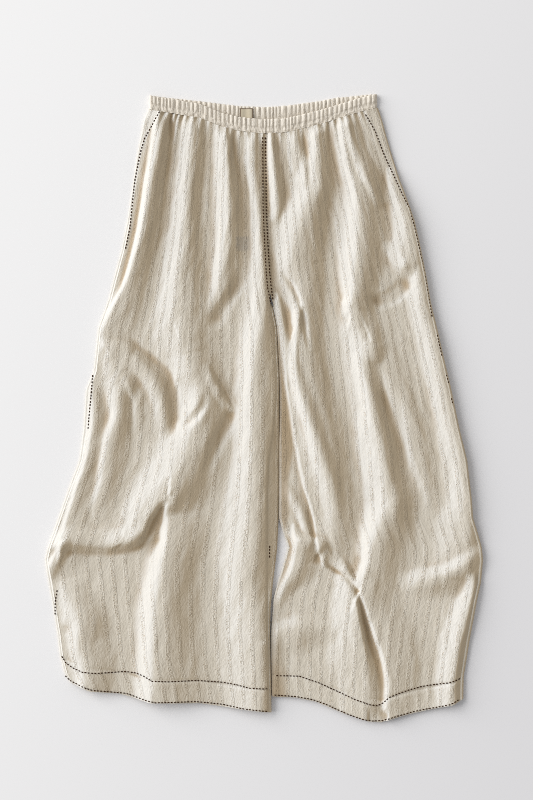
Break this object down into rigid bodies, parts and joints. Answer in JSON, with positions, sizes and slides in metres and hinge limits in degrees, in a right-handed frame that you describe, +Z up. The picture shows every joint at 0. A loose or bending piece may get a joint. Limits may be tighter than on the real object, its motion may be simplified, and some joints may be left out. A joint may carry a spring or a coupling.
{
  "type": "wide-leg pull-on trousers",
  "caption": "Wide-leg pull-on trousers in crinkled striped cotton, laid flat front side up, with a gathered elastic waistband and deep hems.",
  "frame": {"origin": "middle of the garment's footprint, on the surface that it lies on", "axes": "+Y from the hems to the waistband, +X to the right of somebody who looks down on the front with the waistband at the top, +Z up out of the front face"},
  "size_m": [0.6572, 0.9424, 0.0196],
  "materials": {
    "cloth": "crinkled slubby weave in ecru with fine lengthwise textured stripes",
    "label": "plain woven tape"
  },
  "bodies": {
    "root": {"front_leg_left": "cloth", "front_leg_right": "cloth", "back_leg_left": "cloth", "back_leg_right": "cloth", "waistband": "cloth", "waist_label": "label"}
  },
  "joints": []
}
